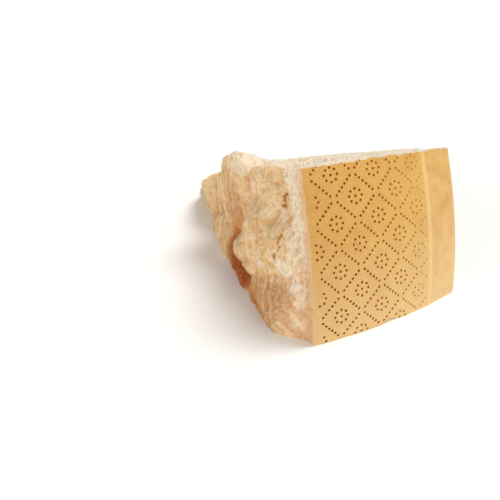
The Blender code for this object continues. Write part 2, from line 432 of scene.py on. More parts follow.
@dataclass(frozen=True)
class HandSplit:
    """The face that was broken by hand, toward -X, scored with a knife beside the rind."""

    wheel: Wheel = Wheel()
    fracture: Fracture = Fracture(Vector((3.1, 7.7, 1.3)))
    edge_relief_low: float = 0.0038
    edge_relief_high: float = 0.0031
    height: float = 0.100
    body_relief: float = 0.0055
    score_start: float = 0.003
    score_end: float = 0.021
    fall: float = 0.010
    rib_pitch: float = 0.0105
    rib_depth: float = 0.0034
    rib_middle_y: float = -0.030
    rib_reach: float = 0.040
    edge_sway: float = 0.0007
    edge_sway_sizes: Pair = (0.02, 0.006)
    fibre_pitch: float = 0.0024
    fibre_length: float = 0.018
    fibre_relief: float = 0.00060
    fibre_sweep: float = 0.022
    fibre_sweep_top: float = 0.045
    fibre_foot_starts: Pair = (0.004, 0.012)
    fibre_foot_top: Pair = (0.020, 0.034)
    fibre_lobes_start: Pair = (0.075, 0.100)
    fibre_between: float = 0.25
    crumbly_start: Pair = (0.004, 0.010)
    crumbly_end: Pair = (0.024, 0.040)
    crumbly_loss: float = 0.55
    crumbly_share: float = 0.9
    crumb_share: float = 0.45
    stand: float = 0.00065
    step: float = 0.00065

    lumps: tuple[Lump, ...] = (
        Lump((-0.164, 0.002), 0.0215, (0.048, 0.027)),
        Lump((-0.122, 0.016), 0.0222, (0.016, 0.015)),
        Lump((-0.136, 0.030), 0.0212, (0.018, 0.024)),
        Lump((-0.139, 0.018), 0.0212, (0.017, 0.012)),
        Lump((-0.146, 0.028), 0.0175, (0.040, 0.036)),
        Lump((-0.087, 0.048), 0.0158, (0.026, 0.056)),
        Lump((-0.038, 0.020), 0.0128, (0.038, 0.036)),
        Lump((-0.096, 0.000), 0.0190, (0.058, 0.018)),
        Lump((-0.128, 0.001), 0.0226, (0.020, 0.013)),
        Lump((-0.132, 0.066), 0.0105, (0.040, 0.040)),
    )
    hollows: tuple[Lump, ...] = (
        Lump((-0.110, 0.055), 0.0030, (0.005, 0.009)),
        Lump((-0.108, 0.038), 0.0028, (0.007, 0.024)),
        Lump((-0.130, 0.007), 0.0045, (0.018, 0.006)),
        Lump((-0.064, 0.036), 0.0055, (0.006, 0.034)),
        Lump((-0.157, 0.056), 0.0030, (0.012, 0.008)),
    )
    pits: tuple[Lump, ...] = (
        Lump((-0.1588, 0.0714), 0.0020, (0.0022, 0.0042)),
        Lump((-0.1600, 0.0662), 0.0020, (0.0027, 0.0027)),
        Lump((-0.1678, 0.0505), 0.0020, (0.0022, 0.0038)),
        Lump((-0.1696, 0.0455), 0.0012, (0.0020, 0.0034)),
        Lump((-0.1675, 0.0390), 0.0010, (0.0026, 0.0032)),
    )
    pit_ragged_size: float = 0.0016
    pit_ragged_reach: float = 0.0018

    def inward(self, y: float, z: float) -> float:
        """Return how far a place on the split plane is from the barrel rind."""
        return self.wheel.radius - math.hypot(y, z + self.wheel.lower_cut_above_axis)

    def form(self, y: float, z: float) -> float:
        """Return the main form of the split: how far it stands out toward -X.

        Args:
            y: Place from the wheel's axis.
            z: Height above the table.

        Returns:
            The relief, without flakes and crumbs.
        """
        warped_y, warped_z = self.fracture.warped(y, z)
        body = smoothstep(self.score_start, self.score_end, self.inward(y, z))
        edge = self.edge_relief_low + (self.edge_relief_high - self.edge_relief_low) * z / self.height
        relief = self.body_relief
        for lump in self.lumps:
            relief = max(relief, lump.swell(warped_y, warped_z, self.fall))
        for hollow in self.hollows:
            relief -= hollow.dent(warped_y, warped_z)
        rib_share = dome(min(abs(warped_y - self.rib_middle_y) / self.rib_reach, 1.0))
        rib = abs(math.sin(math.pi * warped_y / self.rib_pitch))
        relief -= self.rib_depth * rib_share * (1.0 - rib) ** 2
        relief += self.fracture.rough(Vector((0.0, y, z)))
        return edge + body * (relief - edge)

    def fibre(self, y: float, z: float) -> float:
        """Return how high the fibres of the paste stand, from -1 to 1.

        They run up the deep lobes, sweep toward the rind at the foot, and hardly show between.

        Args:
            y: Place from the wheel's axis.
            z: Height above the table.

        Returns:
            The height.
        """
        inward = self.inward(y, z)
        warped_y, warped_z = self.fracture.warped(y, z)
        swept = warped_y + self.fibre_sweep * max(0.0, 1.0 - z / self.fibre_sweep_top) ** 2
        foot = smoothstep(*self.fibre_foot_starts, inward) * (1.0 - smoothstep(*self.fibre_foot_top, z))
        lobes = smoothstep(*self.fibre_lobes_start, inward)
        shown = min(self.fibre_between + (1.0 - self.fibre_between) * (lobes + foot), 1.0)
        return shown * noise.noise(Vector((swept / self.fibre_pitch, warped_z / self.fibre_length, 3.7)))

    def pitted(self, y: float, z: float) -> Iterator[tuple[Lump, float]]:
        """Yield each ragged pit with its depth at a place, as a share of its whole depth."""
        ragged = noise.noise_vector(Vector((0.0, y, z)) / self.pit_ragged_size) * self.pit_ragged_reach
        for pit in self.pits:
            yield pit, dome(math.hypot(*pit.off(y + ragged.y, z + ragged.z)))

    def relief(self, y: float, z: float) -> float:
        """Return the split with its flakes, fibres, crumbs and pits.

        Args:
            y: Place from the wheel's axis.
            z: Height above the table.

        Returns:
            How far it stands out toward -X.
        """
        point = Vector((0.0, y, z))
        inward = self.inward(y, z)
        body = smoothstep(self.score_start, self.score_end, inward)
        crumbly = smoothstep(*self.crumbly_start, inward)
        crumbly *= 1.0 - self.crumbly_loss * smoothstep(*self.crumbly_end, inward)
        detail = self.fracture.flaked(point) * body
        detail += self.fracture.crumbs(point) * (self.crumb_share + self.crumbly_share * crumbly)
        detail -= self.fibre_relief * (0.5 - 0.5 * self.fibre(y, z)) * body
        detail -= sum(pit.height * share for pit, share in self.pitted(y, z))
        size_y, size_z = self.edge_sway_sizes
        sway = noise.noise(Vector((5.5, y / size_y, z / size_z))) * self.edge_sway
        return self.form(y, z) + self.stand * body + detail + sway * (1.0 - body)


@dataclass(frozen=True)
class UpperCut:
    """The long cut on top, which rises over the lobe and sinks toward the tip."""

    wheel: Wheel = Wheel()
    fracture: Fracture = Fracture(Vector((11.9, 2.3, 5.1)))
    tip_thickness_split_side: float = 0.0245
    tip_thickness_rind_side: float = 0.0150
    crest: Lump = Lump((-0.009, -0.090), 0.0090, (0.024, 0.022))
    saddle: Lump = Lump((-0.004, -0.112), 0.0042, (0.020, 0.018))
    sink_start_y: float = -0.085
    sink: float = 0.0190
    sink_length: float = 0.074
    sink_power: float = 1.2
    sink_rind_share: float = 0.25
    sink_fade: Pair = (-0.012, 0.030)
    roughness: float = 1.3
    flake_step: float = 0.0022
    flake_share: float = 0.5
    rim: Pair = (0.002, 0.022)
    step: float = 0.0009

    def form(self, x: float, y: float) -> float:
        """Return the main form of the cut.

        Args:
            x: Place from the split plane.
            y: Place from the wheel's axis.

        Returns:
            Its height above the table, without flakes and crumbs.
        """
        radius = self.wheel.rind_radius(min(x, self.wheel.flat_x))
        rim_y = -radius * math.cos(self.wheel.upper_cut_angle)
        rim_z = radius * math.sin(self.wheel.upper_cut_angle) - self.wheel.lower_cut_above_axis
        across = x / self.wheel.flat_x
        tip_z = self.tip_thickness_split_side
        tip_z += across * (self.tip_thickness_rind_side - self.tip_thickness_split_side)
        height = tip_z + (rim_z - tip_z) * y / rim_y + self.crest.dent(x, y) - self.saddle.dent(x, y)
        sunk = (max(0.0, y - self.sink_start_y) / self.sink_length) ** self.sink_power
        fade = smoothstep(*self.sink_fade, x)
        height -= self.sink * sunk * (1.0 + fade * (self.sink_rind_share - 1.0))
        body = smoothstep(*self.rim, y - rim_y)
        rough = self.fracture.rough(Vector((x, y, 0.0))) * self.roughness
        flakes = math.floor(rough / self.flake_step) * self.flake_step
        return height + body * (rough + self.flake_share * (flakes - rough))

    def relief(self, x: float, y: float) -> float:
        """Return the height of the cut above the table, with its flakes and crumbs."""
        point = Vector((x, y, 0.0))
        return self.form(x, y) + (self.fracture.flaked(point) + self.fracture.crumbs(point))


@dataclass(frozen=True)
class TipBreak:
    """The blunt break at the point of the wedge."""

    fracture: Fracture = Fracture(Vector((4.4, 9.2, 8.6)))
    tip_y: float = 0.0175
    lean: float = 0.30
    step: float = 0.0009

    def relief(self, x: float, z: float) -> float:
        """Return the break with its crags, flakes and crumbs.

        Args:
            x: Place from the split plane.
            z: Height above the table.

        Returns:
            How far it reaches toward +Y.
        """
        point = Vector((x, 0.0, z))
        detail = self.fracture.flaked(point) + self.fracture.crumbs(point)
        return self.tip_y - self.lean * z + self.fracture.rough(point) + detail


@dataclass(frozen=True)
class PinMark:
    """One mark that a pin of the mould has pressed into the rind."""

    x: float
    angle: float
    radius: float
    depth: float


@dataclass(frozen=True)
class PinBand:
    """A trellis of pin marks with a rosette in each of its cells.

    It covers the band that the marked plate of the mould presses into the rind.
    """

    wheel: Wheel = Wheel()
    pitch: float = 0.00272
    steps_to_crossing: int = 7
    rosette_radius: float = 0.0040
    rosette_marks: int = 8
    first_x: float = 0.0005
    last_x: float = 0.0745
    fade_x: float = 0.050
    first_angle: float = math.radians(-2.0)
    last_angle: float = math.radians(30.4)
    mark_radius: float = 0.00108
    mark_depth: float = 0.0009
    stand: float = 0.0004
    taper: float = 0.50
    sway: float = 0.00018
    sway_size: float = 0.004
    worn_radius: float = 0.22
    worn_depth: float = 0.35
    uneven_radius: float = 0.10
    sides: int = 8

    def places(self) -> Iterator[Pair]:
        """Yield the places of the marks as x and the length along the rind."""
        half = self.steps_to_crossing * self.pitch / math.sqrt(2.0)
        step = half / self.steps_to_crossing
        length = self.wheel.radius * (self.last_angle - self.first_angle)
        columns = math.ceil((self.last_x - self.first_x) / half)
        rows = math.ceil(length / half)
        for column in range(columns):
            for row in range(rows):
                rises = (column + row) % 2 == 0
                for i in range(self.steps_to_crossing):
                    along = step * i
                    start = row * half if rises else (row + 1) * half
                    yield column * half + along, start + along * (1 if rises else -1)
        for column in range(0, columns + 1):
            for row in range(0, rows + 1):
                if (column + row) % 2 == 0:
                    continue
                yield column * half, row * half
                for i in range(self.rosette_marks):
                    turn = 2.0 * math.pi * i / self.rosette_marks
                    across = self.rosette_radius * math.cos(turn)
                    yield column * half + across, row * half + self.rosette_radius * math.sin(turn)

    def marks(self) -> Iterator[PinMark]:
        """Yield each mark that falls in the band, a little off its place as pins are."""
        for along_x, along_rind in self.places():
            off = noise.noise_vector(Vector((along_x, along_rind, 0.4)) / self.sway_size)
            x = self.first_x + along_x + off.x * self.sway
            angle = self.first_angle + (along_rind + off.y * self.sway) / self.wheel.radius
            if not self.first_x <= x <= self.last_x:
                continue
            worn = smoothstep(self.fade_x, self.last_x, x)
            radius = self.mark_radius * (1.0 - self.worn_radius * worn + self.uneven_radius * off.z)
            yield PinMark(x, angle, radius, self.mark_depth * (1.0 - self.worn_depth * worn))

    def cutter(self) -> bpy.types.Object:
        """Model one pin, copy it to every mark and join the copies.

        Returns:
            The pins as one object.
        """
        bpy.ops.object.select_all(action="DESELECT")
        bpy.ops.mesh.primitive_cone_add(
            vertices=self.sides, radius1=1.0, radius2=self.taper, depth=1.0, location=(0.0, 0.0, 0.0)
        )
        pin = bpy.context.object
        pin.name = "pin"
        shape = coordinates(pin.data)
        copies = []
        for mark in self.marks():
            copy = pin.copy()
            copy.data = pin.data.copy()
            bpy.context.collection.objects.link(copy)
            self.press(copy, shape, mark)
            copies.append(copy)
        bpy.data.objects.remove(pin)
        bpy.ops.object.select_all(action="DESELECT")
        for copy in copies:
            copy.select_set(True)
        bpy.context.view_layer.objects.active = copies[0]
        bpy.ops.object.join()
        pins = bpy.context.object
        pins.name = "pin_marks"
        finish_skins(pins, Skin.PIN_MARK)
        log.info("pin marks: %d", len(copies))
        return pins

    def press(self, pin: bpy.types.Object, shape: np.ndarray, mark: PinMark) -> None:
        """Put a pin into the rind at its mark.

        Args:
            pin: The copy.
            shape: The pin's points, 1 m high and 1 m in radius, wide end down.
            mark: Where and how large it is.
        """
        radius = self.wheel.rind_radius(mark.x)
        slope = (mark.x - self.wheel.mid_height_x) / self.wheel.barrel_radius
        outward = Vector((slope, -math.cos(mark.angle), math.sin(mark.angle))).normalized()
        foot = Vector((mark.x, -radius * math.cos(mark.angle), radius * math.sin(mark.angle)))
        foot.z -= self.wheel.lower_cut_above_axis
        across = Vector((1.0, 0.0, 0.0)).cross(outward).normalized()
        along = across.cross(outward)
        places = np.outer(shape[:, 0] * mark.radius, across)
        places += np.outer(shape[:, 1] * mark.radius, along)
        lift = self.stand - (shape[:, 2] + 0.5) * (mark.depth + self.stand)
        places += np.outer(lift, outward) + np.array(foot)
        move_points(pin.data, places)


@dataclass(frozen=True)
class RindFinish:
    """Natural rind, salted in brine, rubbed with oil and aged: waxy, golden, and finely dimpled."""

    left: str = "C99741"
    middle: str = "D3A24C"
    right: str = "D8AA54"
    band: str = "DFB268"
    line: str = "EBCB8C"
    toasted: str = "BC7C2E"
    pale: str = "E6C684"
    low: str = "F2D8A2"
    pale_below: float = 0.060
    roughness: float = 0.46
    coat: float = 0.12
    coat_roughness: float = 0.38
    blotch: float = 0.016
    scuff: float = 0.0075
    speck: float = 0.0011
    line_x: float = 0.0768
    line_half_width: float = 0.0013
    flat_x: float = 0.1000
    bump_strength: float = 0.30
    bump_distance: float = 0.0004
    translucence: float = 0.10
    light_depth: float = 0.002

    def material(self) -> bpy.types.Material:
        """Make the rind's material.

        Returns:
            The material.
        """
        paint = LayeredPaint("oiled_natural_rind")
        # The rind is deeper in colour beside the split and paler toward the flat rind
        across = paint.add("ShaderNodeMapRange", inputs={
            "Value": paint.x, "From Min": -FOOTPRINT_CENTRE.x, "From Max": self.flat_x - FOOTPRINT_CENTRE.x,
        })
        ramp = paint.add("ShaderNodeValToRGB", inputs={"Fac": across.outputs["Result"]})
        stops = ramp.color_ramp.elements
        stops[0].color = linear(self.left)
        stops[1].color = linear(self.band)
        for position, code in ((0.30, self.middle), (0.72, self.right), (0.80, self.band)):
            stops.new(position).color = linear(code)
        paint.colour = ramp.outputs["Color"]
        paint.lay(self.toasted, paint.noise(self.blotch, 3.0, 0.55), (0.45, 0.80), 0.42)
        # Fine specks of salt and mould, at about a millimetre
        specks = paint.noise(self.speck, 2.0, 0.6)
        paint.lay(self.pale, specks, (0.50, 0.72), 0.34)
        # The rind outside the mould's band is scuffed, so it is blotched more finely
        line_x = self.line_x - FOOTPRINT_CENTRE.x
        outside = paint.math("GREATER_THAN", paint.x, line_x)
        scuffed = paint.math("MULTIPLY", paint.noise(self.scuff, 4.0, 0.6), outside)
        paint.lay(self.toasted, scuffed, (0.42, 0.75), 0.50)
        # The edge of the mould's band has left one pale raised line
        on_line = paint.math("COMPARE", paint.x, line_x, self.line_half_width)
        paint.lay(self.line, on_line, strength=0.55)
        # The rind pales toward the table, and the paste shows where it is chipped
        paint.lay(self.low, paint.z, (self.pale_below, 0.0), 0.42)
        paint.lay(self.pale, paint.painted(Patch.CHIPPED))
        return paint.finish({
            "Normal": paint.bump(specks, self.bump_strength, self.bump_distance),
            "Roughness": self.roughness,
            "Coat Weight": self.coat,
            "Coat Roughness": self.coat_roughness,
            "Subsurface Weight": self.translucence,
            "Subsurface Radius": (1.0, 0.45, 0.15),
            "Subsurface Scale": self.light_depth,
        })


@dataclass(frozen=True)
class PasteFinish:
    """Crumbly aged paste: matt, cream to straw yellow, and a little translucent, with painted light and
    shade laid on its relief and hollows.
    """

    cream: str = "EFD0A0"
    straw: str = "EBC688"
    pale: str = "F4DEB4"
    pale_and_lit: str = "F2E5CE"
    toasted: str = "C68C52"
    crust: str = "E5BE98"
    # Golden brown of the painted shade in dips and hollows
    shade_brown: str = "CC8A44"
    # Deep orange-brown of the painted shade in the undercut, the creases and the pits
    deep: str = "A44806"
    roughness: float = 0.62
    translucence: float = 0.22
    blotch: float = 0.018
    flake: float = 0.0060
    ragged: float = 0.0050
    mottle: float = 0.0030
    crumb: float = 0.0013
    grain_height: float = 0.00016
    swell_height: float = 0.0011
    bump_strength: float = 0.8
    bump_distance: float = 0.0008
    specular: float = 0.25
    light_depth: float = 0.0025

    def material(self) -> bpy.types.Material:
        """Make the paste's material.

        Returns:
            The material.
        """
        paint = LayeredPaint("aged_crumbly_paste", self.cream)
        paint.lay(self.straw, paint.noise(self.blotch, 2.0), (0.35, 0.65))
        mottle = paint.noise(self.mottle, 4.0, 0.65)
        crumbs = paint.noise(self.crumb, 3.0, 0.7)
        # Each flake has its own tone, and a ragged outline
        swayed = paint.add("ShaderNodeVectorMath", {"operation": "MULTIPLY_ADD"}, {
            0: mottle.node.outputs["Color"], 1: (self.ragged, self.ragged, self.ragged), 2: paint.place,
        })
        flakes = paint.add("ShaderNodeTexVoronoi", inputs={
            "Vector": swayed.outputs[0], "Scale": 1.0 / self.flake,
        })
        tone = paint.add("ShaderNodeSeparateColor", inputs={"Color": flakes.outputs["Color"]}).outputs["Red"]
        grain, fibre, swell = map(paint.painted, (Patch.GRAIN_LIGHT_AND_SHADE, Patch.FIBRE, Patch.SWELL_SHADE))
        # The mottling frays these patches
        toasted, crust, pale_and_lit, hollow = (
            paint.math("ADD", paint.painted(patch), mottle)
            for patch in (Patch.TAN_AND_SHADE, Patch.CRUST, Patch.PALE_AND_LIT, Patch.HOLLOW_SHADE)
        )
        # The flakes and the mottling vary the tone. Raised grains get a painted highlight and the dips
        # between them painted shade, and the fibres are paler where they stand out and deeper in colour
        # where they sink.
        for amount, code, start, end, strength in (
            (tone, self.pale_and_lit, 0.55, 1.00, 0.40),
            (tone, self.toasted, 0.45, 0.00, 0.35),
            (mottle, self.pale_and_lit, 0.52, 0.72, 0.40),
            (mottle, self.toasted, 0.48, 0.28, 0.45),
            # Tan patches of the paste, partly painted shade below the bulge and beside the crease
            (toasted, self.toasted, 0.80, 1.50, 0.85),
            (crust, self.crust, 0.70, 1.20, 0.90),
            # The pale band and spots, and painted light on the top cut and under the shoulder
            (pale_and_lit, self.pale_and_lit, 0.72, 1.20, 0.95),
            # Painted highlight on raised grains and painted shade in the dips between them
            (grain, self.pale_and_lit, 0.00, self.grain_height, 0.26),
            (grain, self.shade_brown, 0.00, -self.grain_height, 0.26),
            (fibre, self.pale, 0.00, 0.60, 0.55),
            (fibre, self.toasted, 0.00, -0.60, 0.50),
            # Painted shade in the broad hollows between the swellings
            (swell, self.shade_brown, 0.00, -self.swell_height, 0.50),
            # Pale crumbs, and painted shade where the crumbs' bump sinks
            (crumbs, self.pale_and_lit, 0.50, 0.70, 0.30),
            (crumbs, self.shade_brown, 0.50, 0.30, 0.24),
            # Painted shade in the undercut below the bulge, the creases and the pits: golden brown, then
            # deep orange-brown
            (hollow, self.shade_brown, 0.60, 1.00, 0.75),
            (hollow, self.deep, 0.90, 1.55, 0.92),
        ):
            paint.lay(code, amount, (start, end), strength)
        return paint.finish({
            "Normal": paint.bump(crumbs, self.bump_strength, self.bump_distance),
            "Roughness": self.roughness,
            "Specular IOR Level": self.specular,
            "Subsurface Weight": self.translucence,
            "Subsurface Radius": (1.0, 0.50, 0.20),
            "Subsurface Scale": self.light_depth,
        })


@dataclass(frozen=True)
class PinMarkFinish:
    """The inside of a pin mark: rind that was pressed in and has browned as it dried."""

    dark: str = "AC5628"
    light: str = "CE8850"
    roughness: float = 0.7
    specular: float = 0.15
    fade_from: float = 0.030
    fade_to: float = 0.078

    def material(self) -> bpy.types.Material:
        """Make the pin marks' material.

        Returns:
            The material.
        """
        paint = LayeredPaint("browned_pin_mark", self.dark)
        fade = (self.fade_from - FOOTPRINT_CENTRE.x, self.fade_to - FOOTPRINT_CENTRE.x)
        paint.lay(self.light, paint.x, fade)
        return paint.finish({"Roughness": self.roughness, "Specular IOR Level": self.specular})


@dataclass(frozen=True)
class AgedWedge:
    """The wedge: a turned block of the wheel, marked, and broken along its cuts."""

    wheel: Wheel = Wheel()
    split: HandSplit = HandSplit()
    upper: UpperCut = UpperCut()
    tip: TipBreak = TipBreak()
    pins: PinBand = PinBand()
    rind_finish: RindFinish = RindFinish()
    paste_finish: PasteFinish = PasteFinish()
    pin_finish: PinMarkFinish = PinMarkFinish()
    block_split_side: float = 0.045
    block_tip_y: float = 0.045
    block_height: float = 0.112
    margin: float = 0.005
    tip_height: float = 0.060
    tip_middle: float = 0.025
    rind_step: float = 0.0010
    flat_step: float = 0.0030
    corner_columns: int = 8
    rind_undulation: float = 0.00025
    slow_waves: Pair = (0.030, 0.022)
    slow_share: float = 0.7
    quick_waves: Pair = (0.005, 0.004)
    quick_share: float = 0.25
    line_fall: float = 0.004
    flat_wave: float = 0.025
    split_side_edge: Pair = (0.004, 0.008)
    top_edge: Pair = (-0.004, -0.001)
    # How much painted light from above the top cut gets
    top_light: float = 0.95
    crust_depth: Pair = (0.0035, 0.0090)
    crust_fade: Pair = (0.045, 0.070)
    crust_loss: float = 0.6
    band_start: Pair = (0.003, 0.010)
    band_end: Pair = (0.016, 0.030)
    band_foot: Pair = (0.030, 0.048)
    foot_share: float = 0.15
    band_bleach: float = 0.70
    chip_depth: float = 0.001
    grain_passes: int = 5
    swell_passes: int = 90
    crease_angle: float = math.radians(48)
    # Pale spots of the paste; the one at (-0.1600, 0.0550), under the shoulder, is painted light on a place
    # that the form shades
    pale_and_lit: tuple[Lump, ...] = (
        Lump((-0.1558, 0.0290), 0.8, (0.008, 0.006)),
        Lump((-0.1480, 0.0610), 0.4, (0.007, 0.007)),
        Lump((-0.1695, 0.0370), 0.9, (0.010, 0.006)),
        Lump((-0.1777, 0.0344), 0.9, (0.010, 0.006)),
        Lump((-0.1865, 0.0295), 0.8, (0.008, 0.007)),
        Lump((-0.1925, 0.0225), 0.6, (0.005, 0.009)),
        Lump((-0.1945, 0.0110), 0.35, (0.010, 0.010)),
        Lump((-0.1600, 0.0550), 0.4, (0.010, 0.010)),
        Lump((-0.0990, 0.0680), 0.7, (0.026, 0.016)),
        Lump((-0.1240, 0.0640), 0.5, (0.008, 0.010)),
    )
    scored_foot: Lump = Lump((-0.1930, 0.0040), 0.4, (0.020, 0.024))
    # Tan patches; those at y -0.160 low under the bulge and the one at y -0.098 beside the crease are
    # painted shade
    toasted: tuple[Lump, ...] = (
        Lump((-0.1780, 0.0140), 1.3, (0.030, 0.020)),
        Lump((-0.0980, 0.0350), 1.3, (0.014, 0.024)),
        Lump((-0.0900, 0.0500), 0.5, (0.020, 0.030)),
        Lump((-0.0520, 0.0200), 0.5, (0.034, 0.026)),
        Lump((-0.1600, 0.0000), 0.9, (0.036, 0.014)),
        Lump((-0.1610, 0.0130), 0.8, (0.020, 0.014)),
    )
    # Where painted shade is laid: the undercut below the bulge, the creases and the hollows of the split
    hollows: tuple[Lump, ...] = (
        Lump((-0.1240, 0.0060), 1.5, (0.025, 0.014)),
        Lump((-0.0985, 0.0140), 0.9, (0.012, 0.016)),
        Lump((-0.1120, 0.0040), 0.9, (0.018, 0.014)),
        Lump((-0.1500, 0.0090), 0.5, (0.016, 0.012)),
        Lump((-0.1600, 0.0010), 0.5, (0.028, 0.009)),
        Lump((-0.1390, 0.0180), 0.3, (0.012, 0.010)),
        Lump((-0.1130, 0.0560), 0.5, (0.005, 0.010)),
    )
    # How much painted shade the pits get
    pit_shade: float = 0.9
    chips: tuple[Lump, ...] = (
        Lump((0.0480, 0.0000), 0.0024, (0.0070, 0.0030)),
        Lump((0.0170, 0.0000), 0.0012, (0.0040, 0.0020)),
    )

    def block(self) -> bpy.types.Object:
        """Wrap a grid round the block that is sawn from the wheel, and close its ends.

        Returns:
            The block.
        """
        outline = list(self.outline())
        rows = round(self.block_height / self.rind_step)
        stock = flat_grid("block", len(outline), rows)
        flat = coordinates(stock.data)
        columns = np.rint((flat[:, 0] + 0.5) * len(outline)).astype(int) % len(outline)
        heights = (flat[:, 1] + 0.5) * self.block_height
        places = np.array([outline[column](z) for column, z in zip(columns, heights)])
        move_points(stock.data, places)
        edit_all(
            stock,
            lambda: bpy.ops.mesh.remove_doubles(threshold=MERGE),
            lambda: bpy.ops.mesh.fill_holes(sides=0),
            face_outward,
        )
        finish_skins(stock, Skin.RIND)
        return stock

    def outline(self) -> Iterator[Callable[[float], tuple[float, float, float]]]:
        """Yield the columns of the block, in order round it, each as its place at a height."""
        corner_x, corner_r, touch = self.wheel.corner()
        touch_x = self.wheel.mid_height_x + self.wheel.barrel_radius * math.sin(touch)
        barrel = round((touch_x + self.block_split_side) / self.rind_step)
        for i in range(barrel):
            x = -self.block_split_side + (touch_x + self.block_split_side) * i / barrel
            yield lambda z, x=x: self.on_rind(x, self.wheel.rind_radius(x), z)
        for i in range(self.corner_columns + 1):
            turn = touch + (math.pi / 2 - touch) * i / self.corner_columns
            x = corner_x + self.wheel.corner_radius * math.sin(turn)
            radius = corner_r + self.wheel.corner_radius * math.cos(turn)
            yield lambda z, x=x, radius=radius: self.on_rind(x, radius, z)
        flat = round((self.block_tip_y + corner_r) / self.flat_step)
        for i in range(1, flat + 1):
            yield lambda z, share=i / flat: self.on_flat(corner_r, share, z)
        yield lambda z: (-self.block_split_side, self.block_tip_y, z)

    def on_rind(self, x: float, radius: float, z: float) -> tuple[float, float, float]:
        """Return a place on the barrel rind, with its undulation, mould line and chips.

        Args:
            x: Place from the split plane.
            radius: The wheel's radius there.
            z: Height above the table.

        Returns:
            The place.
        """
        height = z + self.wheel.lower_cut_above_axis
        slow = noise.noise(Vector((x / self.slow_waves[0], z / self.slow_waves[1], 1.9)))
        quick = noise.noise(Vector((x / self.quick_waves[0], z / self.quick_waves[1], 6.2)))
        sunk = self.rind_undulation * (1.0 + self.slow_share * slow + self.quick_share * quick)
        past_line = x - self.rind_finish.line_x
        sunk -= self.rind_undulation * dome(past_line / (2.0 * self.rind_finish.line_half_width))
        sunk += 0.5 * self.rind_undulation * smoothstep(0.0, self.line_fall, past_line)
        sunk += total_dent(self.chips, x, z)
        return x, -math.sqrt((radius - max(sunk, 0.0)) ** 2 - height**2), z

    def on_flat(self, rim_radius: float, share: float, z: float) -> tuple[float, float, float]:
        """Return a place on the flat rind.

        Args:
            rim_radius: The radius at which the flat rind starts.
            share: How far it is from the rim to the back of the block.
            z: Height above the table.

        Returns:
            The place.
        """
        rim_y = -math.sqrt(rim_radius**2 - (z + self.wheel.lower_cut_above_axis) ** 2)
        y = rim_y + share * (self.block_tip_y - rim_y)
        wave = 0.5 + 0.5 * noise.noise(Vector((y / self.flat_wave, z / self.flat_wave, 4.4)))
        return self.wheel.flat_x - self.rind_undulation * smoothstep(0.0, 0.05, share) * wave, y, z

    def rough_block(self, name: str, face: HandSplit | UpperCut | TipBreak, size: Sequence[float],
                    middle: Sequence[float], fill_to: float, axes: Sequence[Sequence[int]],
                    ) -> bpy.types.Object:
        """Model a block whose first face is rough.

        The face starts as a flat grid in local x and y. Each of its points is moved along local
        z to its relief, and the block fills local z from there to fill_to.

        Args:
            name: The object's name.
            face: The rough face.
            size: Its two sides.
            middle: Its middle in local x and y.
            fill_to: Where the block ends in local z.
            axes: The rows of the matrix that turns it into place.

        Returns:
            The block.
        """
        block = flat_grid(name, *(round(length / face.step) for length in size))
        upward = {"value": (0.0, 0.0, 1.0)}
        edit_all(block, lambda: bpy.ops.mesh.extrude_region_move(TRANSFORM_OT_translate=upward))
        places = coordinates(block.data)
        places[:, 0] = places[:, 0] * size[0] + middle[0]
        places[:, 1] = places[:, 1] * size[1] + middle[1]
        rough = places[:, 2] > 0.5
        places[~rough, 2] = fill_to
        places[rough, 2] = [face.relief(a, b) for a, b in places[rough, :2]]
        move_points(block.data, places)
        block.data.transform(Matrix(axes).to_4x4())
        edit_all(block, face_outward)
        finish_skins(block, Skin.PASTE)
        return block

    def cut(self, piece: bpy.types.Object, cutter: bpy.types.Object) -> None:
        """Take a cutter out of the piece, and remove the cutter.

        Args:
            piece: What is cut.
            cutter: What is taken out of it.
        """
        select_only(piece)
        split = piece.modifiers.new(cutter.name, "BOOLEAN")
        split.operation = "DIFFERENCE"
        split.object = cutter
        split.solver = "MANIFOLD"
        bpy.ops.object.modifier_apply(modifier=split.name)
        log.info("%s: %d faces are left", cutter.name, len(piece.data.polygons))
        bpy.data.objects.remove(cutter)

    def build(self) -> bpy.types.Object:
        """Saw the block, press its marks and break it along its cuts.

        Returns:
            The wedge.
        """
        noise.seed_set(NOISE_SEED)
        wedge = self.block()
        self.cut(wedge, self.pins.cutter())
        length = self.block_tip_y + self.wheel.radius + 2 * self.margin
        middle_y = (self.block_tip_y - self.wheel.radius) / 2
        width = self.wheel.flat_x + self.block_split_side + 2 * self.margin
        middle_x = (self.wheel.flat_x - self.block_split_side) / 2
        height = self.block_height + 2 * self.margin
        for name, face, size, middle, end, axes in (
            ("upper_cut", self.upper, (width, length), (middle_x, middle_y), self.block_height,
             ((1, 0, 0), (0, 1, 0), (0, 0, 1))),
            ("tip_break", self.tip, (width, self.tip_height), (middle_x, self.tip_middle),
             self.block_tip_y, ((1, 0, 0), (0, 0, 1), (0, 1, 0))),
            ("hand_split", self.split, (length, height), (middle_y, self.block_height / 2),
             self.block_split_side, ((0, 0, -1), (1, 0, 0), (0, 1, 0))),
        ):
            self.cut(wedge, self.rough_block(name, face, size, middle, end + self.margin, axes))
        wedge.name = "aged_wedge"
        wedge.data.name = "aged_wedge"
        return wedge

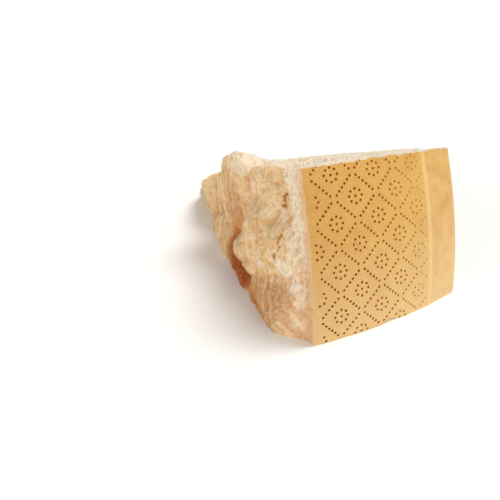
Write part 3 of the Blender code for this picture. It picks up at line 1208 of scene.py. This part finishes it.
    def paint(self, wedge: bpy.types.Object) -> None:
        """Write the painted changes of colour to the mesh, with painted light and shade among them.

        Args:
            wedge: The wedge, still in the wheel's place.
        """
        places = coordinates(wedge.data)
        values = {patch: np.zeros(len(places)) for patch in Patch}
        for i, (x, y, z) in enumerate(places):
            depth = self.wheel.depth_below_rind(x, y, z)
            split_side = 1.0 - smoothstep(*self.split_side_edge, x + self.split.form(y, z))
            crust = 1.0 - smoothstep(*self.crust_depth, depth)
            crust *= 1.0 - self.crust_loss * smoothstep(*self.crust_fade, z)
            values[Patch.CRUST][i] = min(crust + split_side * self.scored_foot.dent(y, z), 1.0)
            band = smoothstep(*self.band_start, depth) * (1.0 - smoothstep(*self.band_end, depth))
            band *= self.foot_share + (1.0 - self.foot_share) * smoothstep(*self.band_foot, z)
            white = self.band_bleach * band + total_dent(self.pale_and_lit, y, z)
            # The top cut is painted paler, as painted light from above
            on_top = smoothstep(*self.top_edge, z - self.upper.form(x, y)) * (1.0 - split_side)
            values[Patch.PALE_AND_LIT][i] = min(white * split_side + self.top_light * on_top, 1.0)
            # Tan patches, partly painted shade below the bulge
            values[Patch.TAN_AND_SHADE][i] = split_side * min(total_dent(self.toasted, y, z), 1.0)
            # The pits and the hollows get painted shade
            pitted = self.pit_shade * sum(share for _, share in self.split.pitted(y, z))
            hollow = pitted + total_dent(self.hollows, y, z)
            values[Patch.HOLLOW_SHADE][i] = split_side * min(hollow, 1.0)
            values[Patch.FIBRE][i] = split_side * self.split.fibre(y, z)
            values[Patch.CHIPPED][i] = min(total_dent(self.chips, x, z) / self.chip_depth, 1.0)
        # Painted light and shade follow how far each point stands above its small and its broad surroundings
        values[Patch.GRAIN_LIGHT_AND_SHADE] = standing(wedge.data, self.grain_passes)
        values[Patch.SWELL_SHADE] = standing(wedge.data, self.swell_passes)
        for patch, amounts in values.items():
            layer = wedge.data.attributes.new(patch.value, "FLOAT", "POINT")
            layer.data.foreach_set("value", amounts)

    def dress(self, wedge: bpy.types.Object) -> None:
        """Paint the wedge, shade it, put it in its place and give it its finishes.

        Args:
            wedge: The wedge.
        """
        self.paint(wedge)
        wedge.data.transform(Matrix.Translation(-FOOTPRINT_CENTRE))
        select_only(wedge)
        bpy.ops.object.shade_smooth_by_angle(angle=self.crease_angle)
        finishes = (self.rind_finish, self.paste_finish, self.pin_finish)
        for skin, finish in zip(Skin, finishes):
            wedge.data.materials[skin.value] = finish.material()
        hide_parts(NODE)
        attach(wedge, BODY)


@dataclass(frozen=True)
class FarScreen:
    """A wide bright screen far away, which lights the whole table evenly."""

    name: str
    toward: tuple[float, float, float]
    spread: float
    strength: float
    colour: str = "FFFFFF"

    def light(self) -> None:
        """Set the screen up."""
        lamp = bpy.data.lights.new(self.name, "SUN")
        lamp.angle = math.radians(self.spread)
        lamp.energy = self.strength
        lamp.color = linear(self.colour)[:3]
        hung = bpy.data.objects.new(self.name, lamp)
        hung.location = self.toward
        hung.rotation_euler = Vector(self.toward).to_track_quat("Z", "Y").to_euler()
        bpy.context.scene.collection.objects.link(hung)


@dataclass(frozen=True)
class Studio:
    """A white table in a bright white room, and the camera."""

    floor_side: float = 8.0
    floor_colour: str = "FBFAF8"
    floor_roughness: float = 0.9
    floor_specular: float = 0.1
    room_light: float = 0.30
    screens: tuple[FarScreen, ...] = (
        FarScreen("key", (0.46, 0.04, 0.89), 30.0, 2.20),
        FarScreen("front", (0.15, -0.90, 0.38), 50.0, 0.76),
        FarScreen("left", (-0.85, -0.40, 0.32), 50.0, 1.10, "FFF4E6"),
    )
    camera_place: tuple[float, float, float] = (-0.22666, -0.52491, 0.32143)
    camera_ahead: tuple[float, float, float] = (0.2902, 0.8165, -0.4991)
    camera_right: tuple[float, float, float] = (0.94225, -0.33490, 0.0)
    lens: float = 72.0

    def floor(self) -> None:
        """Lay the table top."""
        bpy.ops.object.select_all(action="DESELECT")
        bpy.ops.mesh.primitive_plane_add(size=self.floor_side, location=(0.0, 0.0, 0.0))
        top = bpy.context.object
        top.name = "table_top"
        paint = LayeredPaint("white_matt_laminate", self.floor_colour)
        matt = {"Roughness": self.floor_roughness, "Specular IOR Level": self.floor_specular}
        top.data.materials.append(paint.finish(matt))

    def room(self) -> None:
        """Fill the room with white light."""
        world = bpy.data.worlds.new("white_room")
        world.use_nodes = True
        background = world.node_tree.nodes["Background"]
        background.inputs["Color"].default_value = (1.0, 1.0, 1.0, 1.0)
        background.inputs["Strength"].default_value = self.room_light
        bpy.context.scene.world = world

    def camera(self) -> None:
        """Set the camera where the picture was taken from."""
        ahead = Vector(self.camera_ahead).normalized()
        right = Vector(self.camera_right).normalized()
        lens = bpy.data.cameras.new("camera")
        lens.lens = self.lens
        lens.sensor_width = 36.0
        camera = bpy.data.objects.new("camera", lens)
        turn = Matrix((right, right.cross(ahead), -ahead)).transposed().to_4x4()
        camera.matrix_world = Matrix.Translation(self.camera_place) @ turn
        bpy.context.scene.collection.objects.link(camera)
        bpy.context.scene.camera = camera

    def set_up(self) -> None:
        """Lay the table, light the room and set the camera."""
        self.floor()
        self.room()
        for screen in self.screens:
            screen.light()
        self.camera()
        bpy.context.scene.view_settings.view_transform = "Standard"
        bpy.context.scene.view_settings.look = "None"


def main() -> None:
    """Build the wedge and the studio."""
    logging.basicConfig(level=logging.INFO, format="%(name)s: %(message)s")
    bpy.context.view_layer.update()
    maker = AgedWedge()
    wedge = maker.build()
    maker.dress(wedge)
    wedge.data.calc_loop_triangles()
    log.info("%s: %d triangles", wedge.name, len(wedge.data.loop_triangles))
    Studio().set_up()


if __name__ == "__main__":
    main()
